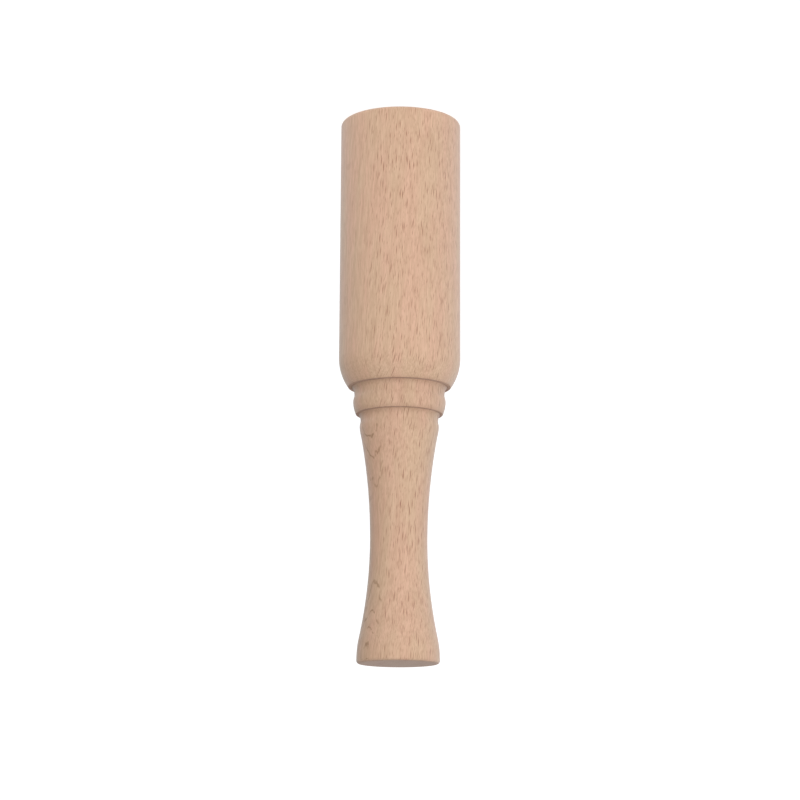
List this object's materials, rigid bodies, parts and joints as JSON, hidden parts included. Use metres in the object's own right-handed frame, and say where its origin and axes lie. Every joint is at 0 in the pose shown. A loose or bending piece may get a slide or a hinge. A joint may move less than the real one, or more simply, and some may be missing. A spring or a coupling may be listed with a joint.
{
  "type": "muddler",
  "caption": "Turned wooden bar muddler: a plain round head with a rounded shoulder, a stepped collar and a waisted handle that flares to a flat end.",
  "frame": {"origin": "centre of the head's flat working face, which is the bottom of the part", "axes": "+Z along the axis of the turning, from the working face towards the handle's end; X and Y are equal"},
  "size_m": [0.045, 0.045, 0.204],
  "materials": {
    "beech_head": "fine sanded, unfinished",
    "beech_handle": "fine sanded, unfinished"
  },
  "bodies": {
    "root": {"head": "beech_head", "handle": "beech_handle"}
  },
  "joints": []
}
